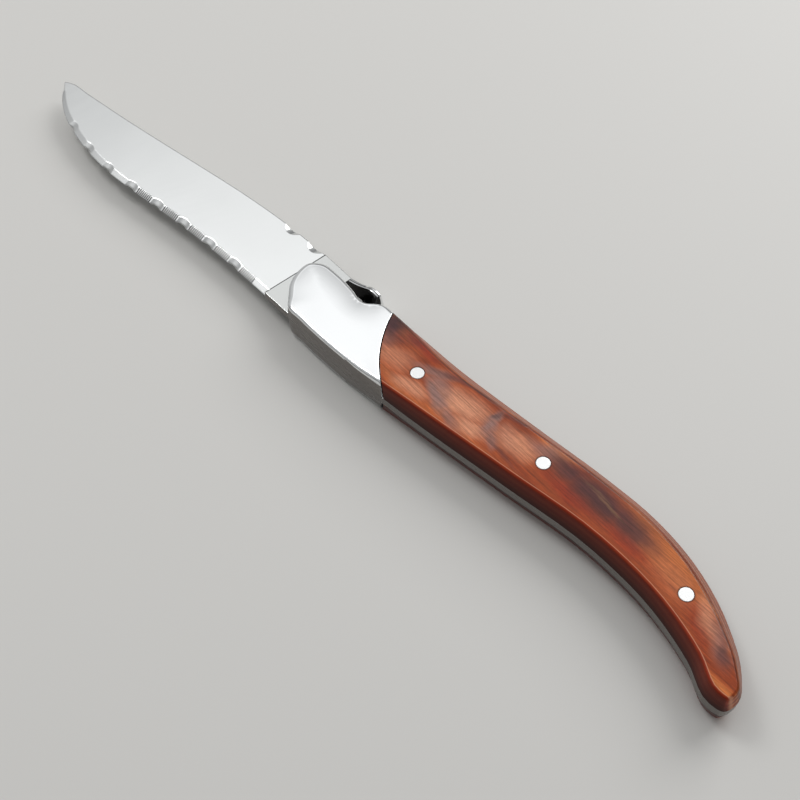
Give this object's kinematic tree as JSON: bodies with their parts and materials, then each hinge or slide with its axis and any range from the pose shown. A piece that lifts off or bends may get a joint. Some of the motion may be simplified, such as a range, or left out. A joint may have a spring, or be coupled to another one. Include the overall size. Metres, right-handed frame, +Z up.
{
  "type": "steak knife",
  "caption": "Full-tang steak knife lying on its side: upswept blade with a scalloped, finely toothed edge, steel bolsters and a curved wooden handle.",
  "frame": {"origin": "point of the rear face that the knife rests on, on the face of the rear scale between the first two rivets", "axes": "+X from the tip to the butt, +Y from the cutting edge to the back of the blade, +Z up through the thickness, out of the front face"},
  "size_m": [0.2297, 0.0299, 0.01],
  "materials": {
    "blade_steel": "satin",
    "polished_steel": "polished",
    "rivet_steel": "polished",
    "handle_wood": "gloss"
  },
  "bodies": {
    "root": {"blade": "blade_steel", "fly_plate": "polished_steel", "bolster_front": "polished_steel", "bolster_rear": "polished_steel", "bolster_dowels": "rivet_steel", "scale_front": "handle_wood", "scale_rear": "handle_wood", "handle_rivets": "rivet_steel"}
  },
  "joints": []
}
